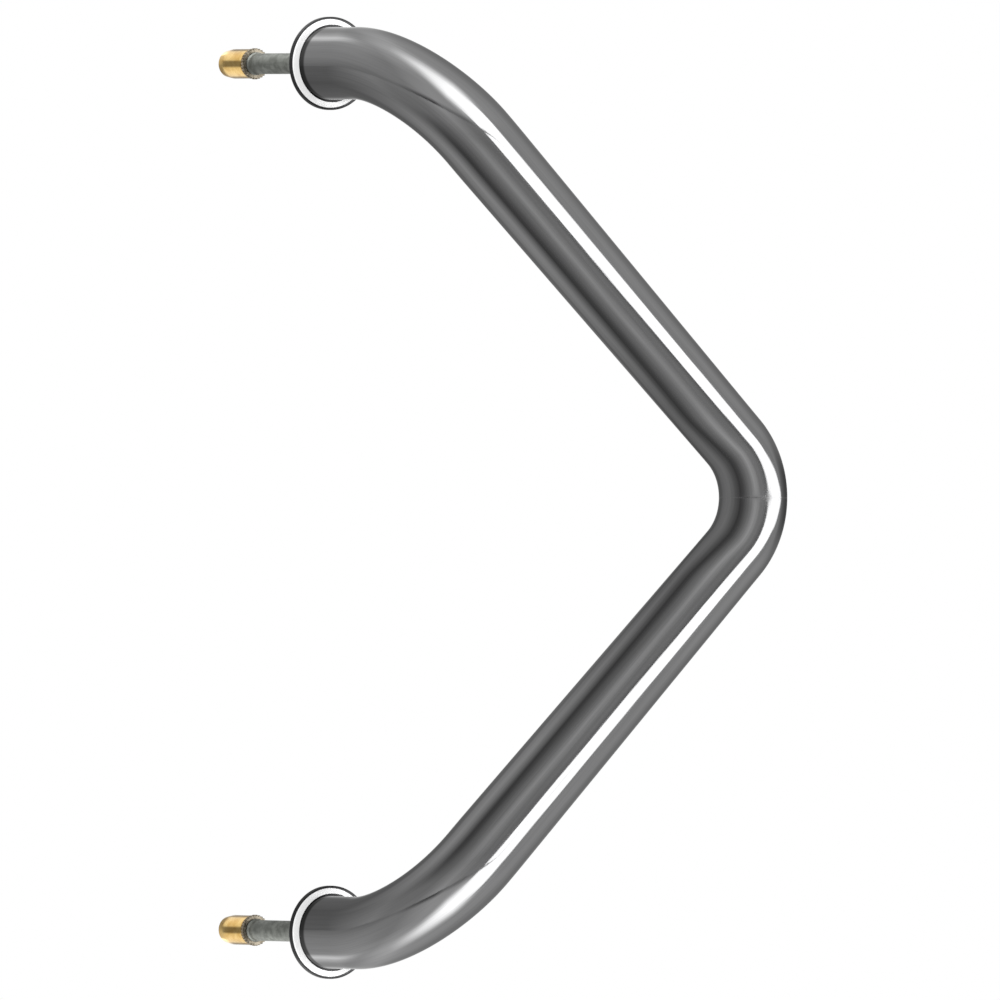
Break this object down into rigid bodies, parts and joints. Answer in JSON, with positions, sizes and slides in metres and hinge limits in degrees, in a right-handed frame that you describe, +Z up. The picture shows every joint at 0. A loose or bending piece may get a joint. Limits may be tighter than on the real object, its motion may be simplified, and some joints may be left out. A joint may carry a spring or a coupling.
{
  "type": "door pull handle",
  "caption": "V-shaped bent-tube door pull handle standing on round roses, fixed through the door by studs with toothed lock rings and round brass nuts.",
  "frame": {"origin": "on the door face, midway between the axes of the two studs", "axes": "+Z up along the line of the studs, +Y into the door along the studs, +X towards the bend of the V"},
  "size_m": [0.1666, 0.1332, 0.3322],
  "materials": {
    "tube_steel": "polished",
    "plug_steel": "turned",
    "rose_steel": "polished",
    "stud_steel": "plated",
    "ring_steel": "plated",
    "nut_brass": "turned"
  },
  "bodies": {
    "root": {"handle_tube": "tube_steel", "upper_end_plug": "plug_steel", "lower_end_plug": "plug_steel", "upper_rose": "rose_steel", "lower_rose": "rose_steel", "upper_stud": "stud_steel", "lower_stud": "stud_steel", "upper_lock_ring": "ring_steel", "lower_lock_ring": "ring_steel", "upper_brass_nut": "nut_brass", "lower_brass_nut": "nut_brass"}
  },
  "joints": []
}
